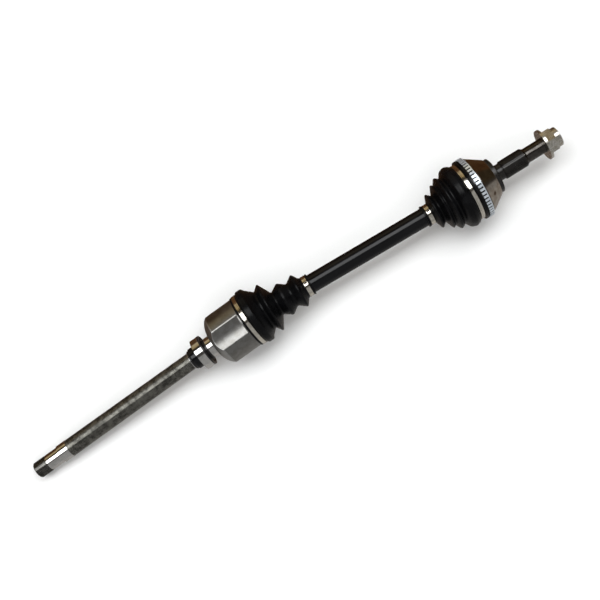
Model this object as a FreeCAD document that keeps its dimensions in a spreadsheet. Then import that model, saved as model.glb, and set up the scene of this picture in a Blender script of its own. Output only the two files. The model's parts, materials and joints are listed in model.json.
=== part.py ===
import FreeCAD, Part
import math
import os
import re

import Sketcher

# A front-wheel drive axle with an intermediate shaft. Local frames, each with +X towards the wheel:
#   inner: the gearbox-side shaft and tulip housing, origin at the tripod joint's centre
#   bar:   the drive bar between the joints, origin at the tripod joint's centre
#   wheel: the outer joint's bell and stub, origin at the ball joint's centre
# The row frame has its origin on the stub's axis at the hub seating shoulder, +X along the stub.

SIZES = {
    # where the three axes point and how they lie on a flat floor, degrees and millimetres
    "bar_turn": -1.33, "bar_rise": 0.9, "inner_turn": 3.76, "inner_rise": 4.65,
    "joint_spacing": 418.6,
    # gearbox-side shaft, distances inboard of the tripod centre
    "cut_past": 2.0,
    "stem_end": 403.6, "gear_spline_start": 382.0, "gear_spline_rad": 13.3, "gear_root_rad": 12.3,
    "gear_journal_start": 379.8, "seal_journal_start": 356.8, "seal_journal_end": 339.6,
    "seal_journal_rad": 14.7, "rough_rad_far": 14.4, "rough_rad_near": 13.6, "rough_end": 101.5,
    "seat_rad": 15.0, "ring_groove_far": 99.6, "ring_groove_near": 98.2, "ring_groove_rad": 13.9,
    "shaft_ring_rad": 16.0, "shaft_ring_gap": 5.0, "deflector_far": 97.7, "deflector_rad": 17.8,
    "deflector_chamfer": 1.6, "bearing_far": 86.0, "bearing_near": 71.0, "neck_rad": 17.0,
    "dome_start": 57.0, "dome_arc": 31.1, "edge_chamfer": 0.6,
    # support bearing
    "bearing_rad": 26.0, "inner_race_top": 18.3, "outer_race_low": 22.9, "bearing_pitch": 20.6,
    "bearing_ball_rad": 3.17, "raceway_rad": 3.25, "cage_low": 19.9, "cage_top": 21.3,
    "bearing_balls": 12.0, "cage_half": 4.4, "cage_pocket_rad": 3.3, "seal_low": 18.6, "seal_top": 22.85,
    "seal_thick": 1.0, "seal_inset": 0.5, "press_gap": 0.02,
    # tulip housing
    "tulip_rad": 42.3, "tulip_seat_rad": 41.0, "tulip_seat_start": 3.5, "tulip_mouth": 15.5,
    "tulip_bore_rad": 22.0, "bore_chamfer": 2.0, "tulip_floor": 43.0, "track_centre": 24.0,
    "track_rad": 13.6, "spring_hole_rad": 10.0, "spring_hole_end": 67.0,
    "valley_rad": 48.0, "valley_depth": 6.0, "valley_end": 2.0, "valley_round": 5.0,
    "valley_edge_least": 30.0,
    # tripod
    "tracks": 3.0, "hub_far": 9.0, "hub_near": 11.0, "hub_rad": 17.0, "bar_spline_rad": 11.9,
    "trunnion_base": 14.0, "boss_rad": 8.6, "boss_top": 18.8, "trunnion_rad": 7.0, "trunnion_top": 31.5,
    "clip_groove_low": 29.2, "clip_groove_top": 30.4, "clip_groove_rad": 6.3,
    "roller_rad": 12.3, "roller_half": 5.0, "roller_bore_rad": 9.1,
    "needle_rad": 1.0, "needle_pitch": 8.05, "needle_half": 4.5, "clip_rad": 8.9,
    "thin_gap": 0.05,
    # thrust cup and spring
    "bar_dome_rad": 17.0, "cup_seat_rad": 17.3, "cup_rad": 9.5, "cup_back": 20.0,
    "cup_spigot_end": 24.0, "cup_spigot_rad": 5.5, "spring_wire_rad": 0.8,
    "spring_mean_rad": 7.2, "spring_pitch": 5.0,
    # drive bar, distances outboard of the tripod centre
    "bar_collar_start": 11.0, "bar_collar_end": 16.0, "bar_collar_rad": 12.6, "waist_rad": 11.5,
    "waist_end": 50.0, "bar_full_start": 72.0, "bar_rad": 14.9, "bar_full_end": 350.0,
    "outer_waist_start": 385.0, "outer_collar_start": 403.6, "outer_spline_start": 407.2,
    "bar_end": 432.6, "circlip_thick": 1.2, "circlip_rad": 13.2, "circlip_groove_rad": 11.1,
    "inner_circlip_at": 10.4, "outer_circlip_at": 429.8, "circlip_gap": 4.0,
    # outer joint
    "drive_balls": 6.0,
    "ball_rad": 7.8, "ball_pitch": 27.0, "groove_rad": 9.2, "race_rad": 23.0, "race_half": 11.0,
    "race_bore_rad": 11.95, "cage_inner_rad": 23.3, "cage_outer_rad": 31.0, "ball_cage_half": 12.0,
    "window_half": 8.05, "window_width": 19.0,
    "window_low": 18.3, "bell_floor": 22.5,
    "groove_out_angle": 50.0, "groove_in_angle": 39.0,
    "bell_mouth": 24.0, "bell_mouth_rad": 41.5, "bell_throat": 12.0, "bell_throat_rad": 28.91,
    "bell_seat_rad": 45.5, "bell_ring_seat": 9.6, "bell_ring_rad": 46.0, "bell_collar_start": 1.1,
    "bell_collar_rad": 48.0, "cone_start": 0.8, "cone_end": 25.6, "cone_end_rad": 31.0,
    "shoulder_rad": 29.0, "shoulder_face": 32.5, "shoulder_chamfer": 1.2, "fillet_rad": 4.4,
    "stub_neck_rad": 13.2, "hub_spline_start": 43.9, "hub_spline_rad": 15.1,
    "hub_spline_end": 83.4, "thread_start": 87.3, "thread_rad": 12.0, "stub_end": 143.0,
    "thread_chamfer": 1.5, "centre_hole_rad": 2.5, "centre_hole_deep": 4.0,
    # splines
    "gear_teeth": 26.0, "gear_slot": 1.5, "hub_teeth": 30.0, "hub_slot": 1.6, "hub_tooth_deep": 1.5,
    # speed sensor ring
    "sensor_far": 9.1, "sensor_rad": 51.0, "sensor_teeth": 52.0, "sensor_slot": 2.5,
    "sensor_slot_deep": 2.4,
    # hub nut and its captive washer
    "washer_start": 119.0, "washer_end": 123.4, "washer_rad": 25.0, "washer_bore_rad": 12.8,
    "nut_start": 123.7, "nut_hex_end": 138.4, "nut_flats": 36.0, "nut_corner": 20.8,
    "nut_chamfer": 1.6, "nut_face_rad": 17.6, "nut_collar_rad": 16.0, "collar_chamfer": 0.8,
    "nut_end": 147.0, "nut_bore_rad": 12.05, "nut_skirt_start": 140.5, "nut_skirt_rad": 14.4,
    # boots and clamps
    "boot_play": 0.3,
    "boot_wall": 2.3, "bar_lip_bore": 14.95, "inner_lip_bore": 41.05, "outer_lip_bore": 45.55,
    "inner_bend_start": 16.0, "inner_bend_end": 56.0, "outer_bend_start": 25.0,
    "outer_bend_end": 68.0, "clamp_thick": 0.7, "clamp_half": 3.5, "clamp_ear": 2.0,
    "clamp_ear_wide": 7.0, "inner_large_clamp_at": 10.0, "inner_large_clamp_low": 43.85,
    "inner_small_clamp_at": 113.5, "inner_small_clamp_low": 16.65, "outer_small_clamp_at": 87.1,
    "outer_small_clamp_low": 16.35, "outer_large_clamp_at": 18.6, "outer_large_clamp_low": 46.85,
}

# Bellows outlines as (distance from the joint centre, radius), large end first.
INNER_FOLDS = [(4.0, 43.8), (14.2, 43.8), (16.4, 46.8), (25.0, 46.8), (28.2, 42.0), (38.8, 32.2),
               (47.3, 41.9), (60.0, 19.0), (73.6, 28.0), (86.3, 18.9), (99.5, 28.5), (106.6, 18.3),
               (109.4, 16.6), (117.6, 16.6), (118.4, 17.5), (120.4, 17.5)]
OUTER_FOLDS = [(10.9, 50.8), (14.4, 50.8), (14.8, 46.8), (22.6, 46.8), (25.6, 50.2), (31.8, 52.4),
               (39.4, 49.6), (45.7, 40.0), (52.7, 45.3), (59.0, 35.3), (63.0, 38.0), (69.8, 23.0),
               (77.5, 30.0), (82.4, 17.6), (83.2, 16.3), (91.0, 16.3), (91.8, 17.6), (94.6, 17.6)]
BAR_LIP_FOLDS = 4
BELLOWS = {"inner_fold": INNER_FOLDS, "outer_fold": OUTER_FOLDS}
ORDINALS = ["one", "two", "three", "four", "five", "six", "seven", "eight", "nine", "ten", "eleven",
            "twelve", "thirteen", "fourteen", "fifteen", "sixteen", "seventeen", "eighteen"]
for family, folds in BELLOWS.items():
    for ordinal, (place, reach) in zip(ORDINALS, folds):
        SIZES[f"{family}_{ordinal}_at"] = place
        SIZES[f"{family}_{ordinal}_rad"] = reach

doc = FreeCAD.newDocument("cv_axle")
sheet = doc.addObject("Spreadsheet::Sheet", "sizes")
for line, (alias, amount) in enumerate(SIZES.items(), 1):
    sheet.set(f"A{line}", alias)
    sheet.set(f"B{line}", str(amount))
    sheet.setAlias(f"B{line}", alias)
doc.recompute()

Vector = FreeCAD.Vector
Rotation = FreeCAD.Rotation
Placement = FreeCAD.Placement
ALONG = Vector(1, 0, 0)
ACROSS = Vector(0, 1, 0)
UP = Vector(0, 0, 1)
ALONG_X = Rotation(ACROSS, 90)
TERM = re.compile(r"([+-]?)\s*([a-z][a-z_]*|[0-9.]+)")


def size(alias):
    return float(getattr(sheet, alias))


def number(text):
    """The value of a sum of sizes, such as 'stem_end - edge_chamfer'."""
    total = 0.0
    for sign, word in TERM.findall(text):
        value = size(word) if word in SIZES else float(word)
        total += -value if sign == "-" else value
    return total


def bound(text):
    """The same sum as an expression on the sheet."""
    return re.sub(r"[a-z][a-z_]*", lambda word: "sizes." + word.group(), text)


# ---------------------------------------------------------------- frames
def axis_frame(origin, turn, rise):
    return Placement(origin, Rotation(UP, turn) * Rotation(ACROSS, -rise))


WHEEL = Placement(Vector(-size("shoulder_face"), 0, 0), Rotation())
BAR_TURN = axis_frame(Vector(), size("bar_turn"), size("bar_rise")).Rotation
TRIPOD_CENTRE = WHEEL.Base - BAR_TURN.multVec(ALONG) * size("joint_spacing")
BAR = Placement(TRIPOD_CENTRE, BAR_TURN)
INNER = axis_frame(TRIPOD_CENTRE, size("inner_turn"), size("inner_rise"))

PARTS = []


def keep(thing, label, frame):
    thing.Label = label
    thing.Placement = frame
    PARTS.append(thing)
    return thing


# ---------------------------------------------------------------- feature helpers
def origin_plane(body, role):
    return next(f for f in body.Origin.OriginFeatures if f.Role == role)


def draw_outline(sketch, points):
    """A closed outline through (along, out) sums. ('arc', along, out) is an arc's centre."""
    stops, centres = [], {}
    for point in points:
        if point[0] == "arc":
            centres[len(stops) - 1] = point[1:]
        else:
            stops.append(point)
    places = [Vector(number(along or "0"), number(out or "0"), 0) for along, out in stops]
    count = len(stops)
    for here, (along, out) in centres.items():
        after = (here + 1) % count
        middle = Vector(number(along), number(out), 0)
        radius = (places[here] - middle).Length
        if stops[after][0] is None:
            rise = places[after].y - middle.y
            places[after].x = middle.x - math.sqrt(radius ** 2 - rise ** 2)
        if stops[after][1] is None:
            run = places[after].x - middle.x
            places[after].y = middle.y + math.sqrt(radius ** 2 - run ** 2)
    limits = add_edges(sketch, places, centres)
    for here, (along, out) in enumerate(stops):
        edge, start = limits[here][0], limits[here][1]
        bind_point(sketch, edge, start, along, out)
    sketch.solve()


def add_edges(sketch, places, centres):
    """Adds each edge and joins them; gives (edge, its start vertex, its end vertex)."""
    count = len(places)
    limits = []
    for here in range(count):
        start, end = places[here], places[(here + 1) % count]
        if here not in centres:
            edge = sketch.addGeometry(Part.LineSegment(start, end), False)
            limits.append((edge, 1, 2))
            continue
        along, out = centres[here]
        middle = Vector(number(along), number(out), 0)
        first = math.atan2(start.y - middle.y, start.x - middle.x)
        last = math.atan2(end.y - middle.y, end.x - middle.x)
        turn = math.remainder(last - first, 2 * math.pi)
        low, high = (first, first + turn) if turn > 0 else (first + turn, first)
        circle = Part.Circle(middle, UP, (start - middle).Length)
        edge = sketch.addGeometry(Part.ArcOfCircle(circle, low, high), False)
        bind_point(sketch, edge, 3, along, out)
        limits.append((edge, 1, 2) if turn > 0 else (edge, 2, 1))
    for here in range(count):
        edge, _, end = limits[here]
        after, start, _ = limits[(here + 1) % count]
        sketch.addConstraint(Sketcher.Constraint("Coincident", edge, end, after, start))
    return limits


def bind_point(sketch, edge, vertex, along, out):
    """Holds a vertex at its place, on the axes where a distance is zero."""
    for kind, axis, text in (("DistanceX", -2, along), ("DistanceY", -1, out)):
        if text is None:
            continue
        if text == "0":
            rule = Sketcher.Constraint("PointOnObject", edge, vertex, axis)
            sketch.addConstraint(rule)
            continue
        rule = Sketcher.Constraint(kind, -1, 1, edge, vertex, number(text))
        index = sketch.addConstraint(rule)
        sketch.setExpression(f"Constraints[{index}]", bound(text))


def new_sketch(body, name, role="XZ_Plane"):
    sketch = body.newObject("Sketcher::SketchObject", name)
    sketch.AttachmentSupport = [(origin_plane(body, role), "")]
    sketch.MapMode = "FlatFace"
    return sketch


def turned(label, points, frame):
    """A body turned about its X axis from a closed outline."""
    body = doc.addObject("PartDesign::Body", label)
    sketch = new_sketch(body, label + "_outline")
    draw_outline(sketch, points)
    solid = body.newObject("PartDesign::Revolution", label + "_turned")
    solid.Profile = sketch
    solid.ReferenceAxis = (sketch, ["H_Axis"])
    solid.Angle = 360
    body.Tip = solid
    return keep(body, label, frame)


def cut_round(body, name, points):
    """Turns away the ring between a closed outline and the body's X axis."""
    sketch = new_sketch(body, name + "_outline")
    draw_outline(sketch, points)
    groove = body.newObject("PartDesign::Groove", name)
    groove.Profile = sketch
    groove.ReferenceAxis = (sketch, ["H_Axis"])
    groove.Angle = 360
    body.Tip = groove
    return groove


def blank(label, frame):
    return keep(doc.addObject("PartDesign::Body", label), label, frame)


def primitive(body, kind, name, place, **sizes):
    """An additive or subtractive primitive whose sizes are sums of the sheet's cells."""
    thing = body.newObject("PartDesign::" + kind, name)
    for key, text in sizes.items():
        thing.setExpression(key, text)
    thing.Placement = place
    body.Tip = thing
    return thing


def repeat(body, feature, count):
    """Repeats a feature evenly about the body's X axis."""
    pattern = body.newObject("PartDesign::PolarPattern", feature.Name + "_pattern")
    pattern.Originals = [feature]
    pattern.Axis = (origin_plane(body, "X_Axis"), [""])
    pattern.Angle = 360
    pattern.setExpression("Occurrences", count)
    body.Tip = pattern
    return pattern


def facing_out(angle, distance=0.0, along=0.0):
    """A place at an angle about X from +Z, whose own Z points outwards."""
    turn = Rotation(ALONG, angle)
    return Placement(turn.multVec(Vector(along, 0, distance)), turn)


def slots(body, name, frame_along, width, length, rad, deep, count):
    """Evenly spaced lengthwise slots cut down from a radius."""
    place = Placement(Vector(number(frame_along), -number(width) / 2, number(rad) - number(deep)),
                      Rotation())
    cutter = primitive(body, "SubtractiveBox", name, place, Length=bound(length),
                       Width=bound(width), Height=bound(deep) + " + sizes.cut_past")
    repeat(body, cutter, bound(count))


def ring(label, far, near, low, top, frame):
    return turned(label, [(far, low), (far, top), (near, top), (near, low)], frame)


def gapped(body, label, gap, reach):
    """Opens a ring towards +Z so that it can be sprung into its groove."""
    wide = number(gap)
    place = Placement(Vector(-number("stem_end"), -wide / 2, 0), Rotation())
    primitive(body, "SubtractiveBox", label + "_gap", place, Length="6 * sizes.stem_end",
              Width=bound(gap), Height=bound(reach) + " + sizes.cut_past")


# ---------------------------------------------------------------- gearbox side
def inner_joint_housing():
    body = turned("inner_joint_housing", [
        ("-stem_end", "0"), ("-stem_end", "gear_spline_rad - bore_chamfer"),
        ("-stem_end + bore_chamfer", "gear_spline_rad"), ("-gear_spline_start", "gear_spline_rad"),
        ("-gear_spline_start", "gear_root_rad"), ("-gear_journal_start", "gear_root_rad"),
        ("-gear_journal_start", "gear_spline_rad"), ("-seal_journal_start", "gear_spline_rad"),
        ("-seal_journal_start + edge_chamfer", "seal_journal_rad"),
        ("-seal_journal_end", "seal_journal_rad"), ("-seal_journal_end + edge_chamfer", "rough_rad_far"),
        ("-rough_end", "rough_rad_near"), ("-rough_end", "seat_rad - edge_chamfer"),
        ("-rough_end + edge_chamfer", "seat_rad"), ("-ring_groove_far", "seat_rad"),
        ("-ring_groove_far", "ring_groove_rad"), ("-ring_groove_near", "ring_groove_rad"),
        ("-ring_groove_near", "seat_rad"), ("-bearing_near", "seat_rad"),
        ("-bearing_near", "neck_rad"), ("-dome_start", "neck_rad"),
        ("arc", "dome_arc - dome_start", "neck_rad"), (None, "tulip_rad"),
        ("tulip_seat_start", "tulip_rad"), ("tulip_seat_start", "tulip_seat_rad"),
        ("tulip_mouth", "tulip_seat_rad"), ("tulip_mouth", "tulip_bore_rad + bore_chamfer"),
        ("tulip_mouth - bore_chamfer", "tulip_bore_rad"), ("-tulip_floor", "tulip_bore_rad"),
        ("-tulip_floor", "spring_hole_rad"), ("-spring_hole_end", "spring_hole_rad"),
        ("-spring_hole_end", "0"),
    ], INNER)
    track = primitive(body, "SubtractiveCylinder", "roller_track",
                      Placement(Vector(-size("tulip_floor"), 0, -size("track_centre")), ALONG_X),
                      Radius="sizes.track_rad",
                      Height="sizes.tulip_floor + sizes.tulip_mouth + sizes.cut_past")
    repeat(body, track, "sizes.tracks")
    reach = size("tulip_rad") + size("valley_rad") - size("valley_depth")
    valley = primitive(body, "SubtractiveCylinder", "outer_valley",
                       Placement(Vector(number("-dome_start - cut_past"), 0, reach), ALONG_X),
                       Radius="sizes.valley_rad",
                       Height="sizes.dome_start + sizes.valley_end + sizes.cut_past")
    soften_valleys(body, repeat(body, valley, "sizes.tracks"))
    slots(body, "gear_spline", "-stem_end - edge_chamfer", "gear_slot",
          "stem_end - gear_spline_start + edge_chamfer", "gear_spline_rad",
          "gear_spline_rad - gear_root_rad", "gear_teeth")


def soften_valleys(body, carved):
    """Rounds the two long straight edges of each outer valley."""
    doc.recompute()
    names = []
    for index, edge in enumerate(carved.Shape.Edges, 1):
        ends = [vertex.Point for vertex in edge.Vertexes]
        lengthwise = len(ends) == 2 and abs(ends[0].x - ends[1].x) > size("valley_edge_least")
        reaches = [math.hypot(end.y, end.z) for end in ends]
        if lengthwise and all(abs(reach - size("tulip_rad")) < size("thin_gap") for reach in reaches):
            names.append(f"Edge{index}")
    edges = body.newObject("PartDesign::Fillet", "valley_edges")
    edges.Base = (carved, names)
    edges.setExpression("Radius", "sizes.valley_round")
    body.Tip = edges


def shaft_retaining_ring():
    body = ring("shaft_retaining_ring", "-ring_groove_far + thin_gap", "-ring_groove_near - thin_gap",
                "ring_groove_rad + thin_gap", "shaft_ring_rad", INNER)
    gapped(body, "shaft_retaining_ring", "shaft_ring_gap", "shaft_ring_rad")


def dust_deflector():
    turned("dust_deflector", [
        ("-deflector_far", "seat_rad + press_gap"),
        ("-deflector_far", "deflector_rad - deflector_chamfer"),
        ("-deflector_far + deflector_chamfer", "deflector_rad"), ("-bearing_far", "deflector_rad"),
        ("-bearing_far", "seat_rad + press_gap"),
    ], INNER)


def bearing_middle():
    return -(size("bearing_far") + size("bearing_near")) / 2


def bearing_ring(label, low, top):
    body = ring(label, "-bearing_far", "-bearing_near", low, top, INNER)
    primitive(body, "SubtractiveTorus", label + "_raceway",
              Placement(Vector(bearing_middle(), 0, 0), ALONG_X),
              Radius1="sizes.bearing_pitch", Radius2="sizes.raceway_rad")


def bearing_seal(label, face, inwards):
    """A thin lip seal just inside a face of the support bearing."""
    step = "+" if inwards > 0 else "-"
    ring(label, f"-{face} {step} seal_inset", f"-{face} {step} seal_inset {step} seal_thick",
         "seal_low", "seal_top", INNER)


def bearing_cage():
    body = blank("bearing_cage", INNER)
    low = Placement(Vector(bearing_middle() - size("cage_half"), 0, 0), ALONG_X)
    primitive(body, "AdditiveCylinder", "cage_ring", low, Radius="sizes.cage_top",
              Height="2 * sizes.cage_half")
    primitive(body, "SubtractiveCylinder", "cage_bore", low, Radius="sizes.cage_low",
              Height="2 * sizes.cage_half")
    pocket = primitive(body, "SubtractiveCylinder", "ball_pocket",
                       Placement(Vector(bearing_middle(), 0, 0), Rotation()),
                       Radius="sizes.cage_pocket_rad", Height="sizes.bearing_rad")
    repeat(body, pocket, "sizes.bearing_balls")


def group(label, shapes, frame):
    """Identical loose pieces held as one node of separate solids."""
    thing = doc.addObject("Part::Feature", label)
    thing.Shape = Part.makeCompound(shapes)
    keep(thing, label, frame)


def ball_ring(label, pitch, radius, middle, frame):
    """As many balls as the cell of the same name says, evenly round the axis."""
    balls = []
    count = int(size(label))
    for turn in range(count):
        place = facing_out(360.0 * turn / count, pitch, middle)
        balls.append(Part.makeSphere(radius, place.Base))
    group(label, balls, frame)


# ---------------------------------------------------------------- tripod
TRACK_ANGLES = (180.0, 300.0, 60.0)


def tripod_spider():
    body = turned("tripod_spider", [
        ("-hub_far", "bar_spline_rad + thin_gap"), ("-hub_far", "hub_rad"),
        ("hub_near", "hub_rad"), ("hub_near", "bar_spline_rad + thin_gap"),
    ], BAR)
    sketch = new_sketch(body, "trunnion_outline")
    draw_outline(sketch, [
        ("0", "-trunnion_base"), ("boss_rad", "-trunnion_base"), ("boss_rad", "-boss_top"),
        ("trunnion_rad", "-boss_top"),
        ("trunnion_rad", "-clip_groove_low"), ("clip_groove_rad", "-clip_groove_low"),
        ("clip_groove_rad", "-clip_groove_top"), ("trunnion_rad", "-clip_groove_top"),
        ("trunnion_rad", "-trunnion_top"), ("0", "-trunnion_top"),
    ])
    trunnion = body.newObject("PartDesign::Revolution", "trunnion")
    trunnion.Profile = sketch
    trunnion.ReferenceAxis = (sketch, ["V_Axis"])
    trunnion.Angle = 360
    body.Tip = trunnion
    repeat(body, trunnion, "sizes.tracks")


def roller(index, angle):
    label = f"roller_{index}"
    body = blank(label, BAR * facing_out(angle, size("track_centre")))
    primitive(body, "AdditiveSphere", label + "_tread", Placement(), Radius="sizes.roller_rad",
              Angle1="-asin(sizes.roller_half / sizes.roller_rad)",
              Angle2="asin(sizes.roller_half / sizes.roller_rad)")
    primitive(body, "SubtractiveCylinder", label + "_bore",
              Placement(Vector(0, 0, -2 * size("roller_half")), Rotation()),
              Radius="sizes.roller_bore_rad", Height="4 * sizes.roller_half")


def roller_needles():
    needles = []
    count = int(2 * math.pi * size("needle_pitch") / (2 * size("needle_rad") + size("thin_gap")))
    for angle in TRACK_ANGLES:
        frame = facing_out(angle, size("track_centre"))
        for place in range(count):
            around = Rotation(UP, 360.0 * place / count)
            base = around.multVec(Vector(size("needle_pitch"), 0, -size("needle_half")))
            needle = Part.makeCylinder(size("needle_rad"), 2 * size("needle_half"), base)
            needles.append(needle.transformed(frame.toMatrix()))
    group("roller_needles", needles, BAR)


def roller_clips():
    clips = []
    low = size("clip_groove_low") + size("thin_gap")
    thick = size("clip_groove_top") - size("clip_groove_low") - 2 * size("thin_gap")
    for angle in TRACK_ANGLES:
        clip = Part.makeCylinder(size("clip_rad"), thick, Vector(0, 0, low))
        bore = Part.makeCylinder(size("clip_groove_rad") + size("thin_gap"), thick, Vector(0, 0, low))
        opening = Part.makeBox(size("clip_rad"), size("circlip_gap"), thick,
                               Vector(0, -size("circlip_gap") / 2, low))
        clip = clip.cut(bore).cut(opening)
        clips.append(clip.transformed(facing_out(angle).toMatrix()))
    group("roller_clips", clips, BAR)


def thrust_cup():
    turned("thrust_cup", [
        ("-cup_seat_rad", "0"), ("arc", "0", "0"), (None, "cup_rad"), ("-cup_back", "cup_rad"),
        ("-cup_back", "cup_spigot_rad"), ("-cup_spigot_end", "cup_spigot_rad"),
        ("-cup_spigot_end", "0"),
    ], INNER)


def thrust_spring():
    body = blank("thrust_spring", INNER)
    sketch = new_sketch(body, "spring_wire")
    start = "-spring_hole_end + spring_wire_rad + spring_wire_rad"
    middle = Vector(number(start), size("spring_mean_rad"), 0)
    wire = sketch.addGeometry(Part.Circle(middle, UP, size("spring_wire_rad")), False)
    bind_point(sketch, wire, 3, start, "spring_mean_rad")
    index = sketch.addConstraint(Sketcher.Constraint("Radius", wire, size("spring_wire_rad")))
    sketch.setExpression(f"Constraints[{index}]", "sizes.spring_wire_rad")
    coil = body.newObject("PartDesign::AdditiveHelix", "spring_coil")
    coil.Profile = sketch
    coil.ReferenceAxis = (sketch, ["H_Axis"])
    coil.Mode = 0
    coil.setExpression("Pitch", "sizes.spring_pitch")
    coil.setExpression("Height", "sizes.spring_hole_end - sizes.cup_back - 4 * sizes.spring_wire_rad")
    body.Tip = coil


# ---------------------------------------------------------------- drive bar
def drive_bar():
    turned("drive_bar", [
        ("-bar_dome_rad", "0"), ("arc", "0", "0"), (None, "bar_spline_rad"),
        ("-inner_circlip_at - thin_gap", "bar_spline_rad"),
        ("-inner_circlip_at - thin_gap", "circlip_groove_rad"),
        ("-inner_circlip_at + circlip_thick + thin_gap", "circlip_groove_rad"),
        ("-inner_circlip_at + circlip_thick + thin_gap", "bar_spline_rad"),
        ("bar_collar_start", "bar_spline_rad"), ("bar_collar_start", "bar_collar_rad"),
        ("bar_collar_end", "bar_collar_rad"), ("bar_collar_end", "waist_rad"),
        ("waist_end", "waist_rad"), ("bar_full_start", "bar_rad"), ("bar_full_end", "bar_rad"),
        ("outer_waist_start", "waist_rad"), ("outer_collar_start", "waist_rad"),
        ("outer_collar_start", "bar_collar_rad"), ("outer_spline_start", "bar_collar_rad"),
        ("outer_spline_start", "bar_spline_rad"), ("outer_circlip_at - thin_gap", "bar_spline_rad"),
        ("outer_circlip_at - thin_gap", "circlip_groove_rad"),
        ("outer_circlip_at + circlip_thick + thin_gap", "circlip_groove_rad"),
        ("outer_circlip_at + circlip_thick + thin_gap", "bar_spline_rad"),
        ("bar_end - edge_chamfer", "bar_spline_rad"), ("bar_end", "bar_spline_rad - edge_chamfer"),
        ("bar_end", "0"),
    ], BAR)


def bar_circlip(label, start):
    body = ring(label, start, start + " + circlip_thick", "circlip_groove_rad + thin_gap",
                "circlip_rad", BAR)
    gapped(body, label, "circlip_gap", "circlip_rad")


# ---------------------------------------------------------------- outer joint
def meridian(start_angle):
    """A place whose own XY plane holds the joint's axis; its X starts start_angle behind +Z."""
    lean = math.radians(-start_angle)
    first = Vector(math.sin(lean), 0, math.cos(lean))
    second = Vector(math.cos(lean), 0, -math.sin(lean))
    return Placement(Vector(), Rotation(first, second, ACROSS, "XYZ"))


def ball_grooves(body, label, sweep_end):
    """Six grooves for the balls, each an arc about the joint's centre."""
    groove = primitive(body, "SubtractiveTorus", label + "_groove",
                       meridian(size("groove_out_angle")), Radius1="sizes.ball_pitch",
                       Radius2="sizes.groove_rad",
                       Angle3="sizes.groove_out_angle + " + bound(sweep_end))
    repeat(body, groove, "sizes.drive_balls")


def flat_sphere(body, name, kind, radius, half):
    """A sphere about the joint's centre cut off flat at both ends."""
    lean = f"asin(sizes.{half} / sizes.{radius})"
    primitive(body, kind, name, Placement(Vector(), ALONG_X), Radius="sizes." + radius,
              Angle1="-" + lean, Angle2=lean)


def outer_frame():
    """The bar's own direction, at the outer joint's centre."""
    return Placement(WHEEL.Base, BAR.Rotation)


def inner_race():
    body = blank("inner_race", outer_frame())
    flat_sphere(body, "race_sphere", "AdditiveSphere", "race_rad", "race_half")
    primitive(body, "SubtractiveCylinder", "race_bore",
              Placement(Vector(-2 * size("race_half"), 0, 0), ALONG_X),
              Radius="sizes.race_bore_rad", Height="4 * sizes.race_half")
    ball_grooves(body, "race", "groove_out_angle")


def ball_cage():
    body = blank("ball_cage", WHEEL)
    flat_sphere(body, "cage_sphere", "AdditiveSphere", "cage_outer_rad", "ball_cage_half")
    primitive(body, "SubtractiveSphere", "cage_hollow", Placement(), Radius="sizes.cage_inner_rad")
    window = primitive(body, "SubtractiveBox", "ball_window",
                       Placement(Vector(-size("window_half"), -size("window_width") / 2,
                                        size("window_low")), Rotation()),
                       Length="2 * sizes.window_half", Width="sizes.window_width",
                       Height="sizes.cage_outer_rad")
    repeat(body, window, "sizes.drive_balls")


def outer_joint_bell():
    body = turned("outer_joint_bell", [
        ("-bell_mouth", "bell_seat_rad"), ("-bell_mouth", "bell_mouth_rad"),
        ("-bell_throat", "bell_throat_rad"), ("arc", "0", "0"), ("bell_floor", None),
        ("bell_floor", "0"), ("stub_end - centre_hole_deep", "0"), ("stub_end", "centre_hole_rad"),
        ("stub_end", "thread_rad - thread_chamfer"), ("stub_end - thread_chamfer", "thread_rad"),
        ("thread_start", "thread_rad"), ("hub_spline_end", "hub_spline_rad"),
        ("hub_spline_start + bore_chamfer", "hub_spline_rad"),
        ("hub_spline_start", "stub_neck_rad"), ("shoulder_face + fillet_rad", "stub_neck_rad"),
        ("arc", "shoulder_face + fillet_rad", "stub_neck_rad + fillet_rad"),
        (None, "stub_neck_rad + fillet_rad"), ("shoulder_face", "shoulder_rad - shoulder_chamfer"),
        ("shoulder_face - shoulder_chamfer", "shoulder_rad"), ("cone_end", "shoulder_rad"),
        ("cone_end", "cone_end_rad"), ("cone_start", "bell_collar_rad"),
        ("-bell_collar_start", "bell_collar_rad"), ("-bell_collar_start", "bell_ring_rad"),
        ("-bell_ring_seat", "bell_ring_rad"), ("-bell_ring_seat", "bell_seat_rad"),
    ], WHEEL)
    ball_grooves(body, "bell", "groove_in_angle")
    slots(body, "hub_spline", "hub_spline_start - edge_chamfer", "hub_slot",
          "hub_spline_end - hub_spline_start + bore_chamfer", "hub_spline_rad", "hub_tooth_deep",
          "hub_teeth")


def abs_ring():
    body = ring("abs_ring", "-sensor_far", "-bell_collar_start", "bell_ring_rad + press_gap",
                "sensor_rad", WHEEL)
    slots(body, "sensor_gap", "-sensor_far - edge_chamfer", "sensor_slot",
          "sensor_far - bell_collar_start - edge_chamfer", "sensor_rad", "sensor_slot_deep",
          "sensor_teeth")


def nut_washer():
    ring("nut_washer", "washer_start", "washer_end", "washer_bore_rad", "washer_rad", WHEEL)


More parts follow.
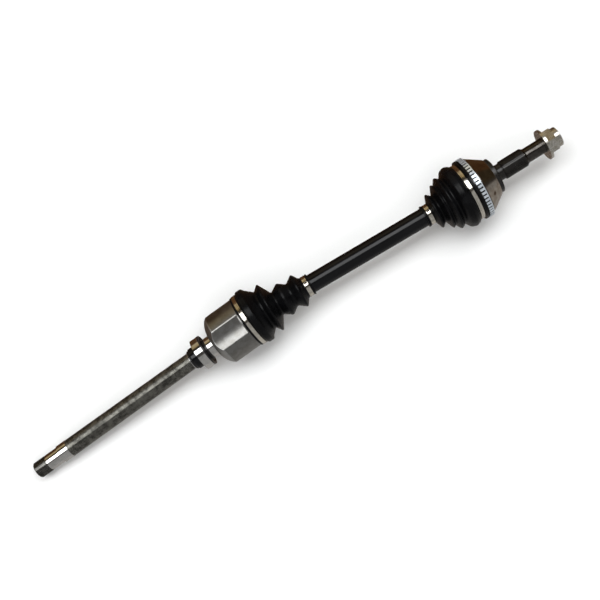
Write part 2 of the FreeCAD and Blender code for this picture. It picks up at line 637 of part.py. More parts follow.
def hub_nut():
    body = blank("hub_nut", WHEEL)
    start = Placement(Vector(size("nut_start"), 0, 0), ALONG_X)
    primitive(body, "AdditivePrism", "nut_hex", start, Polygon="6",
              Circumradius="sizes.nut_flats / 2 / cos(30 deg)",
              Height="sizes.nut_hex_end - sizes.nut_start")
    primitive(body, "AdditiveCylinder", "nut_collar", start, Radius="sizes.nut_collar_rad",
              Height="sizes.nut_end - sizes.nut_start")
    cut_round(body, "hex_chamfer", [
        ("nut_hex_end - nut_chamfer", "nut_corner"), ("nut_hex_end", "nut_face_rad"),
        ("nut_hex_end", "nut_corner"),
    ])
    cut_round(body, "nut_hole", [
        ("nut_start", "0"), ("nut_start", "nut_bore_rad"), ("nut_skirt_start", "nut_bore_rad"),
        ("nut_skirt_start", "nut_skirt_rad"), ("nut_end", "nut_skirt_rad"), ("nut_end", "0"),
    ])
    cut_round(body, "collar_chamfer", [
        ("nut_end - collar_chamfer", "nut_collar_rad"), ("nut_end", "nut_collar_rad - collar_chamfer"),
        ("nut_end", "nut_collar_rad"),
    ])


# ---------------------------------------------------------------- boots and clamps
def fold_points(family):
    rows = zip(ORDINALS, BELLOWS[family])
    return [(size(f"{family}_{o}_at"), size(f"{family}_{o}_rad")) for o, _ in rows]


def boot_loft(circles, from_frame, to_frame, toward, bend_start, bend_end):
    """A ruled skin through circles whose centres ease from one axis to the other."""
    wires = []
    for place, radius in circles:
        share = min(1.0, max(0.0, (place - bend_start) / (bend_end - bend_start)))
        ease = share * share * (3 - 2 * share)
        ends = [frame.multVec(Vector(toward * place, 0, 0)) for frame in (from_frame, to_frame)]
        middle = ends[0] * (1 - ease) + ends[1] * ease
        ways = [frame.Rotation.multVec(ALONG) for frame in (from_frame, to_frame)]
        normal = ways[0] * (1 - ease) + ways[1] * ease
        wires.append(Part.Wire(Part.makeCircle(radius, middle, normal)))
    return Part.makeLoft(wires, True, True)


def boot(label, family, frames, toward, bends, lip_bore, lip_folds):
    """A hollow bellows of even wall, with a round lip at each end."""
    from_frame, to_frame = frames
    outside = fold_points(family)
    wall = size("boot_wall")
    inside = []
    for index, (place, radius) in enumerate(outside):
        if index < lip_folds:
            inside.append((place, lip_bore))
        elif index >= len(outside) - BAR_LIP_FOLDS:
            inside.append((place, size("bar_lip_bore")))
        else:
            inside.append((place, max(radius - wall, number("bar_lip_bore + boot_play"))))
    inside[lip_folds - 1] = (size("tulip_mouth") if toward > 0 else size("bell_mouth"), lip_bore)
    skin = boot_loft(outside, from_frame, to_frame, toward, *bends)
    hollow = boot_loft(inside, from_frame, to_frame, toward, *bends)
    thing = doc.addObject("Part::Feature", label)
    thing.Shape = skin.cut(hollow)
    keep(thing, label, Placement())


def clamp(label, middle, low, frame):
    """A flat steel band with the crimped ear that draws it tight."""
    body = ring(label, f"{middle} - clamp_half", f"{middle} + clamp_half", low,
                low + " + clamp_thick", frame)
    place = Placement(Vector(number(middle) - size("clamp_half"), -size("clamp_ear_wide") / 2,
                             number(low) + size("clamp_thick") / 2), Rotation())
    primitive(body, "AdditiveBox", label + "_ear", place, Length="2 * sizes.clamp_half",
              Width="sizes.clamp_ear_wide", Height="sizes.clamp_thick / 2 + sizes.clamp_ear")


def build():
    inner_joint_housing()
    shaft_retaining_ring()
    dust_deflector()
    bearing_ring("bearing_inner_ring", "seat_rad + press_gap", "inner_race_top")
    bearing_ring("bearing_outer_ring", "outer_race_low", "bearing_rad")
    bearing_seal("bearing_seal_inboard", "bearing_far", 1)
    bearing_seal("bearing_seal_outboard", "bearing_near", -1)
    bearing_cage()
    ball_ring("bearing_balls", size("bearing_pitch"), size("bearing_ball_rad"), bearing_middle(),
              INNER)
    tripod_spider()
    for index, angle in enumerate(TRACK_ANGLES, 1):
        roller(index, angle)
    roller_needles()
    roller_clips()
    thrust_cup()
    thrust_spring()
    drive_bar()
    bar_circlip("spider_circlip", "-inner_circlip_at")
    bar_circlip("inner_race_circlip", "outer_circlip_at")
    inner_race()
    ball_cage()
    ball_ring("drive_balls", size("ball_pitch"), size("ball_rad"), 0.0, WHEEL)
    outer_joint_bell()
    abs_ring()
    nut_washer()
    hub_nut()
    boot("inner_boot", "inner_fold", (INNER, BAR), 1,
         (size("inner_bend_start"), size("inner_bend_end")), size("inner_lip_bore"), 2)
    boot("outer_boot", "outer_fold", (WHEEL, outer_frame()), -1,
         (size("outer_bend_start"), size("outer_bend_end")), size("outer_lip_bore"), 4)
    clamp("inner_boot_large_clamp", "inner_large_clamp_at", "inner_large_clamp_low", INNER)
    clamp("inner_boot_small_clamp", "inner_small_clamp_at", "inner_small_clamp_low", BAR)
    clamp("outer_boot_large_clamp", "-outer_large_clamp_at", "outer_large_clamp_low", WHEEL)
    clamp("outer_boot_small_clamp", "-outer_small_clamp_at", "outer_small_clamp_low", outer_frame())


def check_and_write():
    doc.recompute()
    for thing in doc.Objects:
        if {"Invalid", "Error"} & set(thing.State):
            raise RuntimeError(f"{thing.Name} failed: {thing.State}")
    os.makedirs("parts", exist_ok=True)
    for thing in PARTS:
        shape = thing.Shape
        if shape.isNull() or not shape.isValid():
            raise RuntimeError(f"{thing.Label} has no valid shape")
        shape.exportStep(f"parts/{thing.Label}.step")
        print(f"{thing.Label:28s} {len(shape.Solids):3d} solids {shape.Volume / 1000:9.2f} cm3")


build()
check_and_write()
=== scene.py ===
import json
import math

import bmesh
import bpy
from mathutils import Matrix, Vector


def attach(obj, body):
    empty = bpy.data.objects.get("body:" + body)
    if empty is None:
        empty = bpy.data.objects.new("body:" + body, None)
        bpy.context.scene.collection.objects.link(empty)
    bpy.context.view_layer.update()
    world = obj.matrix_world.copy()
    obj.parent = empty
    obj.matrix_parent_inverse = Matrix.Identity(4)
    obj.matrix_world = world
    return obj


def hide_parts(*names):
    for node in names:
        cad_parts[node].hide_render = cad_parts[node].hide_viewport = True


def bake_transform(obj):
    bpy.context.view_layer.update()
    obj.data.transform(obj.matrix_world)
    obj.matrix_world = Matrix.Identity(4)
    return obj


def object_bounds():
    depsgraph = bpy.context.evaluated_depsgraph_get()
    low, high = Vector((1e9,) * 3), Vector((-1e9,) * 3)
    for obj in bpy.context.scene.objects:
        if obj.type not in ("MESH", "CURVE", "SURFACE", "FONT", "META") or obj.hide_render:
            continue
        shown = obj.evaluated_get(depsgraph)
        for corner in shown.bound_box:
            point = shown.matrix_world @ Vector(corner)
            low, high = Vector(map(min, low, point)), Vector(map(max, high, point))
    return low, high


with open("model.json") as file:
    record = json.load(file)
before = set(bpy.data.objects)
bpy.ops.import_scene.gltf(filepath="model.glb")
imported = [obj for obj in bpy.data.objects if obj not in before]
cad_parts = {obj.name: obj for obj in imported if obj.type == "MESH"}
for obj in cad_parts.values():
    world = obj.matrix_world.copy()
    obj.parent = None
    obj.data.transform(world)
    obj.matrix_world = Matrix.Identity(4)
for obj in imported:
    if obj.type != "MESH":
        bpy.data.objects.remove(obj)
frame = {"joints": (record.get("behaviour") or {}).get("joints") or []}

CAD_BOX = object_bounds()
MM = 0.001
UP = Vector((0, 0, 1))
TAU = 2 * math.pi
WELD = 1e-7  # points nearer than this, in metres, are one
FOLD_ROUNDING = 4.2  # mm from a fold's corner to where its rounding starts
FOLD_STEPS = 7
CREST_PULL = 0.4  # how far past its corner a fold's curve is pulled, as a share of the corner's depth
LONGEST_ROUNDING = 0.42  # of a side, so that the roundings at its two ends don't meet
STRIP_ROUNDING = 0.45  # the same for the clamps' bands
BOOT_COUNT, CLAMP_COUNT = 128, 120  # points round a boot and a clamp
BOOT_SHARP, CLAMP_SHARP, SPRING_SHARP = 50, 35, 40  # degrees, above which an edge stays sharp

# ---------------------------------------------------------------- the three axes
JOINTS = {joint["name"]: joint for joint in frame["joints"]}


def axis_frame(origin, along):
    """A frame at origin whose X runs along an axis, with Y level and Z uppermost."""
    along = along.normalized()
    side = UP.cross(along).normalized()
    turn = Matrix((along, side, along.cross(side))).transposed()
    return Matrix.Translation(origin) @ turn.to_4x4()


TRIPOD_CENTRE = Vector(JOINTS["inner_bend_up_down"]["pos_m"])
BALL_CENTRE = Vector(JOINTS["outer_bend_steering"]["pos_m"])
BAR_WAY = (BALL_CENTRE - TRIPOD_CENTRE).normalized()
INNER = axis_frame(TRIPOD_CENTRE, Vector(JOINTS["inner_plunge"]["axis"]))
BAR = axis_frame(TRIPOD_CENTRE, BAR_WAY)
BAR_OUT = axis_frame(BALL_CENTRE, BAR_WAY)
WHEEL = axis_frame(BALL_CENTRE, Vector((1, 0, 0)))


# ---------------------------------------------------------------- mesh helpers
def at(matrix, along, reach, angle):
    """A point at a distance along an axis, a reach from it and an angle round it from the top, in mm."""
    return matrix @ (Vector((along, -reach * math.sin(angle), reach * math.cos(angle))) * MM)


def finished(name, mesh, material, sharp):
    """Links a mesh as a piece with one material, smooth but for edges sharper than sharp degrees."""
    mesh.materials.append(material)
    mesh.shade_smooth()
    mesh.set_sharp_from_angle(angle=math.radians(sharp))
    piece = bpy.data.objects.new(name, mesh)
    bpy.context.scene.collection.objects.link(piece)
    return piece


def clean(mesh):
    """Merges coinciding points and turns every face outwards."""
    work = bmesh.new()
    work.from_mesh(mesh)
    bmesh.ops.remove_doubles(work, verts=work.verts, dist=WELD)
    bmesh.ops.recalc_face_normals(work, faces=work.faces)
    work.to_mesh(mesh)
    work.free()


def swept(name, loop, place, count):
    """A closed loop of (along, reach) swept once round; place(along, reach, angle) gives each point."""
    rows = len(loop)
    vertices = [place(along, reach, TAU * step / count) for along, reach in loop for step in range(count)]
    faces = []
    for row in range(rows):
        for step in range(count):
            after, beside = (row + 1) % rows, (step + 1) % count
            faces.append((row * count + step, after * count + step,
                          after * count + beside, row * count + beside))
    mesh = bpy.data.meshes.new(name)
    mesh.from_pydata(vertices, [], faces)
    clean(mesh)
    return mesh


def eased(points, radius, steps):
    """An open outline whose corners are rounded, each over about radius millimetres of its sides."""
    made = [points[0]]
    for before, corner, after in zip(points, points[1:], points[2:]):
        p, q, r = Vector(before), Vector(corner), Vector(after)
        reach = min(radius, LONGEST_ROUNDING * (p - q).length, LONGEST_ROUNDING * (r - q).length)
        start, end = q + (p - q).normalized() * reach, q + (r - q).normalized() * reach
        pull = q + (q - (start + end) / 2) * CREST_PULL
        for step in range(steps + 1):
            done = step / steps
            made.append(tuple(start.lerp(pull, done).lerp(pull.lerp(end, done), done)))
    made.append(points[-1])
    return made


def softened(points, radius, steps):
    """A closed outline whose corners are all rounded by about the same radius."""
    made = []
    count = len(points)
    for index, corner in enumerate(points):
        p, q, r = Vector(points[index - 1]), Vector(corner), Vector(points[(index + 1) % count])
        reach = min(radius, (p - q).length * STRIP_ROUNDING, (r - q).length * STRIP_ROUNDING)
        start, end = q + (p - q).normalized() * reach, q + (r - q).normalized() * reach
        for step in range(steps + 1):
            done = step / steps
            made.append(tuple(start.lerp(q, done).lerp(q.lerp(end, done), done)))
    return made


# ---------------------------------------------------------------- material helpers
def add_node(tree, kind, inputs=None, **settings):
    """A shader node; inputs holds a socket to link from or a value for each input."""
    made = tree.nodes.new("ShaderNode" + kind)
    for key, value in settings.items():
        setattr(made, key, value)
    for key, value in (inputs or {}).items():
        if isinstance(value, bpy.types.NodeSocket):
            tree.links.new(value, made.inputs[key])
        else:
            made.inputs[key].default_value = value
    return made


class Paint:
    """A node material under construction, with coordinates in millimetres along an axis."""

    def __init__(self, name, matrix=None):
        self.material = bpy.data.materials.new(name)
        self.material.use_nodes = True
        self.tree = self.material.node_tree
        self.shader = self.tree.nodes["Principled BSDF"]
        place = self.node("TexCoord").outputs["Object"]
        back = (matrix or Matrix()).inverted()
        self.spot = self.node("Mapping", {
            "Vector": place, "Scale": (1 / MM,) * 3, "Rotation": back.to_euler(),
            "Location": back.translation / MM,
        }).outputs[0]
        parts = self.node("SeparateXYZ", {0: self.spot}).outputs
        self.along = parts[0]
        squares = self.sum(self.maths("MULTIPLY", parts[1], parts[1]),
                           self.maths("MULTIPLY", parts[2], parts[2]))
        self.reach = self.maths("SQRT", squares)
        self.round = self.maths("ARCTAN2", parts[1], parts[2])
        self.lathe_spot = self.node("CombineXYZ", {0: self.along, 1: self.reach}).outputs[0]

    def node(self, kind, inputs=None, **settings):
        return add_node(self.tree, kind, inputs, **settings)

    def maths(self, operation, first, second=0.0, clamp=False):
        return self.node("Math", {0: first, 1: second}, operation=operation, use_clamp=clamp).outputs[0]

    def sum(self, first, second):
        return self.maths("ADD", first, second)

    def noise(self, scale, detail=4.0, rough=0.55, spot=None, stretch=None):
        """Noise whose features are about scale millimetres across, stretched if asked."""
        spot = spot or self.spot
        if stretch:
            spot = self.node("Mapping", {"Vector": spot, "Scale": stretch}).outputs[0]
        return self.node("TexNoise", {"Vector": spot, "Scale": 1 / scale, "Detail": detail,
                                      "Roughness": rough}).outputs[0]

    def ramp(self, value, low, high, floor=0.0, roof=1.0):
        """value between low and high, spread smoothly from floor to roof."""
        return self.node("MapRange", {0: value, 1: low, 2: high, 3: floor, 4: roof},
                         interpolation_type="SMOOTHSTEP").outputs[0]

    def band(self, low, high, soft=0.3):
        """1 between two distances along the axis, 0 elsewhere."""
        rise = self.ramp(self.along, low - soft, low + soft)
        fall = self.ramp(self.along, high - soft, high + soft, 1.0, 0.0)
        return self.maths("MULTIPLY", rise, fall)

    def dome(self, centre, middle, radius):
        """1 on a turned arc of a radius about a point at (centre, middle), 0 well inside it."""
        run = self.maths("SUBTRACT", self.along, centre)
        rise = self.maths("SUBTRACT", self.reach, middle)
        squares = self.sum(self.maths("MULTIPLY", run, run), self.maths("MULTIPLY", rise, rise))
        return self.ramp(self.maths("SQRT", squares), radius - 0.9, radius - 0.5)

    def spot_at(self, place, radius):
        """1 within a radius of a point, fading outside it."""
        gap = self.node("VectorMath", {0: self.spot, 1: place}, operation="DISTANCE").outputs["Value"]
        return self.ramp(gap, radius * 0.6, radius * 1.3, 1.0, 0.0)

    def mix(self, share, first, second):
        made = self.node("Mix", data_type="RGBA")
        self.feed(made.inputs[0], share)
        self.feed(made.inputs[6], first)
        self.feed(made.inputs[7], second)
        return made.outputs[2]

    def mix_value(self, share, first, second):
        made = self.node("Mix", data_type="FLOAT")
        self.feed(made.inputs[0], share)
        self.feed(made.inputs[2], first)
        self.feed(made.inputs[3], second)
        return made.outputs[0]

    def feed(self, socket, value):
        if isinstance(value, bpy.types.NodeSocket):
            self.tree.links.new(value, socket)
        elif isinstance(value, tuple) and len(value) == 3:
            socket.default_value = (*value, 1.0)
        else:
            socket.default_value = value

    def set(self, **values):
        """Sets the shader's own sockets; underscores stand for spaces."""
        for key, value in values.items():
            self.feed(self.shader.inputs[key.replace("_", " ")], value)

    def bump(self, height, depth, strength=1.0):
        """Bump of a depth in millimetres where height is 1."""
        self.set(Normal=self.node("Bump", {"Height": height, "Distance": depth * MM,
                                           "Strength": strength}).outputs[0])


class Finish:
    """One surface finish: two colours it varies between and how it was made."""

    def __init__(self, light, dark, rough, metal=1.0, lathe=0.0, pits=0.0):
        self.light, self.dark, self.rough, self.metal = light, dark, rough, metal
        self.lathe, self.pits = lathe, pits


def zoned(name, matrix, base, zones, height=None):
    """A metal surface in zones. zones holds (mask, Finish), and a mask is (low, high) or takes the paint."""
    paint = Paint(name, matrix)
    mottle = paint.ramp(paint.noise(9.0, 6.0, 0.62), 0.36, 0.66)
    speck = paint.noise(0.7, 3.0, 0.6)
    turning = paint.noise(0.22, 2.0, 0.7, paint.lathe_spot)
    wear = paint.ramp(paint.noise(30.0, 5.0, 0.6, stretch=(0.4, 1.0, 1.0)), 0.42, 0.7)

    def colour_of(finish):
        share = paint.maths("MULTIPLY", mottle, paint.ramp(speck, 0.3, 0.75, 0.55, 1.0))
        return paint.mix(share, finish.light, finish.dark)

    colour, rough, metal = colour_of(base), base.rough, base.metal
    lines, pits = base.lathe, base.pits
    for mask, finish in zones:
        inside = mask(paint) if callable(mask) else paint.band(*mask)
        colour = paint.mix(inside, colour, colour_of(finish))
        rough = paint.mix_value(inside, rough, finish.rough)
        metal = paint.mix_value(inside, metal, finish.metal)
        lines = paint.mix_value(inside, lines, finish.lathe)
        pits = paint.mix_value(inside, pits, finish.pits)
    uneven = paint.sum(paint.ramp(speck, 0.2, 0.8, -0.05, 0.05), paint.ramp(wear, 0.0, 1.0, -0.02, 0.07))
    paint.set(Base_Color=colour, Roughness=paint.maths("ADD", rough, uneven, clamp=True), Metallic=metal)
    bumps = paint.sum(paint.maths("MULTIPLY", turning, lines), paint.maths("MULTIPLY", speck, pits))
    if height:
        bumps = paint.sum(bumps, height(paint))
    paint.bump(bumps, 0.1)
    return paint.material


# ---------------------------------------------------------------- finishes
SCALE = Finish((0.150, 0.145, 0.128), (0.014, 0.013, 0.011), 0.30, 0.85, pits=1.6)
GROUND = Finish((0.66, 0.65, 0.63), (0.52, 0.51, 0.49), 0.10, lathe=0.04)
TURNED = Finish((0.25, 0.245, 0.235), (0.19, 0.182, 0.168), 0.35, lathe=0.12, pits=0.05)
BLASTED = Finish((0.42, 0.42, 0.41), (0.32, 0.32, 0.31), 0.48, pits=0.5)
DARK_CUT = Finish((0.15, 0.145, 0.135), (0.05, 0.047, 0.043), 0.28, lathe=0.2, pits=0.3)
# Dark oiled steel. It is also used as painted shade on the housing's neck beside the bearing, on the
# bearing's outboard side and on the sensor ring's slot floors.
OILED_AND_SHADE = Finish((0.016, 0.015, 0.015), (0.007, 0.007, 0.007), 0.22, 0.3, pits=0.3)
PHOSPHATE = Finish((0.016, 0.014, 0.012), (0.006, 0.005, 0.005), 0.24, 0.3, pits=0.5)
BELL_CONE = Finish((0.42, 0.375, 0.320), (0.270, 0.215, 0.170), 0.10, lathe=0.05)
# A small soft dark brown spot on the bell's cone, painted at the point below.
CONE_BROWN_SPOT = Finish((0.110, 0.072, 0.040), (0.050, 0.030, 0.016), 0.4, 0.7, pits=0.6)
SINTERED = Finish((0.84, 0.90, 0.96), (0.62, 0.68, 0.74), 0.30, 0.75, pits=0.3)
THREAD = Finish((0.100, 0.092, 0.085), (0.045, 0.040, 0.035), 0.13, lathe=0.1)
CONE_SPOT_CENTRE = (11.0, -24.0, 33.0)


def dome_face(paint):
    return paint.maths("MULTIPLY", paint.band(-57.2, -41.4), paint.dome(-25.9, 17.0, 31.1))


# Painted shade: 1 on the floors of the sensor ring's slots, which are given the dark finish, and 0 on the
# teeth.
def slot_floor_shade(paint):
    return paint.ramp(paint.reach, 49.6, 50.4, 1.0, 0.0)


def thread_height(paint):
    """A 1.5 mm pitch thread on the stub's end and nothing elsewhere."""
    turns = paint.sum(paint.maths("DIVIDE", paint.along, 1.5), paint.maths("DIVIDE", paint.round, TAU))
    wave = paint.maths("PINGPONG", turns, 0.5)
    return paint.maths("MULTIPLY", paint.maths("MULTIPLY", wave, 3.0), paint.band(87.5, 142.0))


housing_steel = zoned("housing_steel", INNER, SCALE, [
    ((-410.0, -381.0), DARK_CUT), ((-381.0, -339.6), GROUND), ((-101.6, -57.0), GROUND),
    # The dark band from -72.0 to -66.5 mm is painted shade on the neck beside the bearing's outboard side.
    ((-100.6, -97.6), OILED_AND_SHADE), ((-72.0, -66.5), OILED_AND_SHADE), ((-57.0, 16.0), TURNED), (dome_face, BLASTED),
])
bell_steel = zoned("bell_steel", WHEEL, BELL_CONE, [
    ((-30.0, 0.8), DARK_CUT), ((25.4, 84.0), PHOSPHATE), ((84.0, 150.0), THREAD),
    (lambda paint: paint.spot_at(CONE_SPOT_CENTRE, 3.6), CONE_BROWN_SPOT),
], thread_height)
# The dark zone from -73.4 to -68.0 mm is painted shade on the bearing's outboard side.
bearing_steel = zoned("bearing_steel", INNER, GROUND, [((-73.4, -68.0), OILED_AND_SHADE)])
dark_ring_steel = zoned("dark_ring_steel", INNER, OILED_AND_SHADE, [])
plain_steel = zoned("plain_steel", BAR, GROUND, [])
# The slot floors of the ring are painted dark as shade.
sensor_steel = zoned("sensor_steel", WHEEL, SINTERED, [(slot_floor_shade, OILED_AND_SHADE)])


def plated():
    """Zinc plating: cloudy warm grey with browner patches and fine turning marks."""
    paint = Paint("nut_plating", WHEEL)
    cloud = paint.noise(7.0, 4.0, 0.6)
    tint = paint.mix(paint.ramp(cloud, 0.38, 0.62), (0.50, 0.47, 0.40), (0.62, 0.60, 0.55))
    tint = paint.mix(paint.ramp(paint.noise(3.0, 2.0, 0.5), 0.60, 0.72), tint, (0.42, 0.35, 0.29))
    fine = paint.noise(0.35, 3.0, 0.6)
    paint.set(Base_Color=tint, Metallic=1.0, Roughness=paint.ramp(fine, 0.2, 0.8, 0.20, 0.32))
    paint.bump(paint.sum(fine, paint.noise(0.25, 2.0, 0.6, paint.lathe_spot)), 0.03)
    return paint.material


def gloss_black(name, matrix, colour, rough):
    """Stoved black enamel: slight orange peel, settled dust and a few rubbed marks."""
    paint = Paint(name, matrix)
    peel = paint.noise(1.6, 2.0, 0.5)
    dust = paint.ramp(paint.noise(0.5, 3.0, 0.7), 0.63, 0.74)
    cloud = paint.ramp(paint.noise(28.0, 4.0, 0.6, stretch=(0.3, 1.0, 1.0)), 0.4, 0.7)
    shade = paint.mix(cloud, colour, tuple(1.7 * part for part in colour))
    shade = paint.mix(paint.maths("MULTIPLY", dust, 0.18), shade, (0.09, 0.09, 0.095))
    scuff = paint.ramp(paint.noise(2.2, 5.0, 0.7, stretch=(0.12, 1.0, 1.0)), 0.62, 0.72, 0.0, 0.10)
    paint.set(Base_Color=shade, Roughness=paint.sum(paint.ramp(cloud, 0.0, 1.0, rough, rough + 0.08), scuff),
              Specular_IOR_Level=0.26)
    paint.bump(peel, 0.03)
    return paint.material


def rubber(name, matrix, colour=(0.0022, 0.0022, 0.0025), rough=0.25):
    """Moulded black elastomer with fine specks of dust."""
    paint = Paint(name, matrix)
    grain = paint.noise(0.9, 4.0, 0.6)
    cloud = paint.ramp(paint.noise(16.0, 5.0, 0.6), 0.40, 0.68)
    speck = paint.ramp(paint.noise(0.45, 2.0, 0.6), 0.66, 0.76)
    shade = paint.mix(cloud, colour, tuple(1.8 * part for part in colour))
    shade = paint.mix(paint.maths("MULTIPLY", speck, 0.25), shade, (0.07, 0.07, 0.07))
    flow = paint.noise(0.8, 2.0, 0.5, paint.lathe_spot)
    paint.set(Base_Color=shade, Roughness=paint.ramp(cloud, 0.0, 1.0, rough, rough + 0.10),
              Specular_IOR_Level=0.12)
    paint.bump(paint.sum(grain, paint.maths("MULTIPLY", flow, 0.6)), 0.07)
    return paint.material


def strap_steel(name, matrix):
    """Rolled stainless strip: long fine scratches round the band."""
    paint = Paint(name, matrix)
    round_band = paint.maths("MULTIPLY", paint.round, 3.0)
    turned = paint.node("CombineXYZ", {0: paint.along, 1: round_band}).outputs[0]
    scratches = paint.noise(0.30, 3.0, 0.65, turned)
    cloud = paint.ramp(paint.noise(5.0, 3.0, 0.6), 0.4, 0.65)
    shade = paint.mix(cloud, (0.76, 0.72, 0.64), (0.60, 0.56, 0.49))
    paint.set(Base_Color=shade, Metallic=1.0, Roughness=paint.ramp(scratches, 0.3, 0.7, 0.08, 0.18))
    paint.bump(scratches, 0.015)
    return paint.material


nut_plating = plated()
bar_paint = gloss_black("bar_paint", BAR, (0.0014, 0.0015, 0.0019), 0.11)
deflector_black = gloss_black("deflector_black", INNER, (0.0030, 0.0030, 0.0034), 0.12)
seal_rubber = rubber("seal_rubber", INNER, (0.012, 0.011, 0.010), 0.5)
inner_rubber = rubber("inner_boot_rubber", BAR)
outer_rubber = rubber("outer_boot_rubber", WHEEL)


def dress(material, *nodes):
    """Puts a material in the slots of CAD nodes."""
    for node in nodes:
        slots = bpy.data.objects[node].data.materials
        for index in range(len(slots)):
            slots[index] = material


dress(housing_steel, "inner_joint_housing")
dress(bearing_steel, "bearing_inner_ring", "bearing_outer_ring", "bearing_balls", "bearing_cage",
      "thrust_cup", "thrust_spring")
dress(dark_ring_steel, "shaft_retaining_ring")
dress(deflector_black, "dust_deflector")
dress(seal_rubber, "bearing_seal_inboard", "bearing_seal_outboard")
dress(plain_steel, "tripod_spider", "roller_1", "roller_2", "roller_3", "roller_needles", "roller_clips",
      "spider_circlip", "inner_race", "inner_race_circlip", "ball_cage", "drive_balls")
dress(bar_paint, "drive_bar")
dress(bell_steel, "outer_joint_bell")
dress(sensor_steel, "abs_ring")
dress(nut_plating, "nut_washer", "hub_nut")


# ---------------------------------------------------------------- the boots
WALL = 2.3
INNER_FOLDS = [
    (4.0, 43.8), (14.2, 43.8), (16.4, 46.8), (25.0, 46.8), (28.2, 42.0), (38.8, 32.2), (47.3, 41.9),
    (60.0, 19.0), (73.6, 28.0), (86.3, 18.9), (99.5, 28.5), (106.6, 18.3), (109.4, 16.6), (117.6, 16.6),
    (118.4, 17.5), (120.4, 17.5),
]
OUTER_FOLDS = [
    (10.9, 50.8), (14.4, 50.8), (14.8, 46.8), (22.6, 46.8), (25.6, 50.2), (31.8, 52.4), (39.4, 49.6),
    (45.7, 40.0), (52.7, 45.3), (59.0, 35.3), (63.0, 38.0), (69.8, 23.0), (77.5, 30.0), (82.4, 17.6),
    (83.2, 16.3), (91.0, 16.3), (91.8, 17.6), (94.6, 17.6),
]


def smooth_share(distance, start, end):
    share = min(max((distance - start) / (end - start), 0.0), 1.0)
    return share * share * (3 - 2 * share)


def between(outline, low, high):
    """The part of an open outline between two distances."""
    def at_distance(distance):
        for (x0, r0), (x1, r1) in zip(outline, outline[1:]):
            if x0 <= distance <= x1 and x1 > x0:
                return distance, r0 + (r1 - r0) * (distance - x0) / (x1 - x0)
        return outline[-1] if distance > outline[-1][0] else outline[0]

    inside = [point for point in outline if low < point[0] < high]
    return [at_distance(low), *inside, at_distance(high)]


def bellows(name, folds, bores, low, high, place, material):
    """A piece of a boot between two distances: a closed wall with the folds outside and inside."""
    skin = eased(folds, FOLD_ROUNDING, FOLD_STEPS)
    part = between(skin, low, high)
    small, large = bores
    wall = []
    for index, (distance, reach) in enumerate(part):
        before, after = part[max(index - 1, 0)], part[min(index + 1, len(part) - 1)]
        way = Vector((after[0] - before[0], after[1] - before[1])).normalized()
        inward = reach - WALL * abs(way.x) ** 0.5
        lip = large if distance < folds[2][0] else small if distance > folds[-5][0] else 0.0
        wall.append((distance, max(inward if not lip else lip, small)))
    mesh = swept(name, part + wall[::-1], place, BOOT_COUNT)
    piece = finished(name, mesh, material, BOOT_SHARP)
    return piece


def inner_place(distance, reach, angle):
    share = smooth_share(distance, 16.0, 56.0)
    return at(INNER, distance, reach, angle).lerp(at(BAR, distance, reach, angle), share)


def outer_place(distance, reach, angle):
    share = smooth_share(distance, 25.0, 68.0)
    return at(WHEEL, -distance, reach, angle).lerp(at(BAR_OUT, -distance, reach, angle), share)


INNER_BORES, OUTER_BORES = (14.95, 41.05), (14.95, 45.55)
flare = bellows("inner_boot_flare", INNER_FOLDS, INNER_BORES, 4.0, 36.6, inner_place, inner_rubber)
crest = bellows("inner_boot_crest", INNER_FOLDS, INNER_BORES, 36.6, 50.4, inner_place, inner_rubber)
folds = bellows("inner_boot_folds", INNER_FOLDS, INNER_BORES, 50.4, 120.4, inner_place, inner_rubber)
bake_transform(flare)
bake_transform(crest)
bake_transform(folds)
for piece in (flare, crest, folds):
    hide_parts("inner_boot")
shoulder = bellows("outer_boot_shoulder", OUTER_FOLDS, OUTER_BORES, 10.9, 66.4, outer_place, outer_rubber)
neck = bellows("outer_boot_neck", OUTER_FOLDS, OUTER_BORES, 66.4, 94.6, outer_place, outer_rubber)
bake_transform(shoulder)
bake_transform(neck)
for piece in (shoulder, neck):
    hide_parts("outer_boot")


# ---------------------------------------------------------------- the thrust spring
coil = bpy.data.objects["thrust_spring"]
coil_mesh = coil.data.copy()
coil_mesh.transform(coil.matrix_world)
coil_mesh.materials.clear()
spring = finished("thrust_spring_coil", coil_mesh, plain_steel, SPRING_SHARP)
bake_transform(spring)
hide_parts("thrust_spring")


# ---------------------------------------------------------------- the clamps
def strip_loop(path, wide, thick):
    """A strip's corners in rows along a path of (angle, reach), with its half widths and gauge."""
    rows = []
    for (angle, reach), half in zip(path, wide):
        rows.append([(-half, reach, angle), (half, reach, angle),
                     (half, reach + thick, angle), (-half, reach + thick, angle)])
    return rows


def add_strip(vertices, faces, rows, place):
    start = len(vertices)
    for row in rows:
        vertices.extend(place(*corner) for corner in row)
    for index in range(len(rows) - 1):
        near, far = start + 4 * index, start + 4 * (index + 1)
        for side in range(4):
            other = (side + 1) % 4
            faces.append((near + side, near + other, far + other, far + side))
    last = start + 4 * (len(rows) - 1)
    faces.append((start + 3, start + 2, start + 1, start))
    faces.append((last, last + 1, last + 2, last + 3))


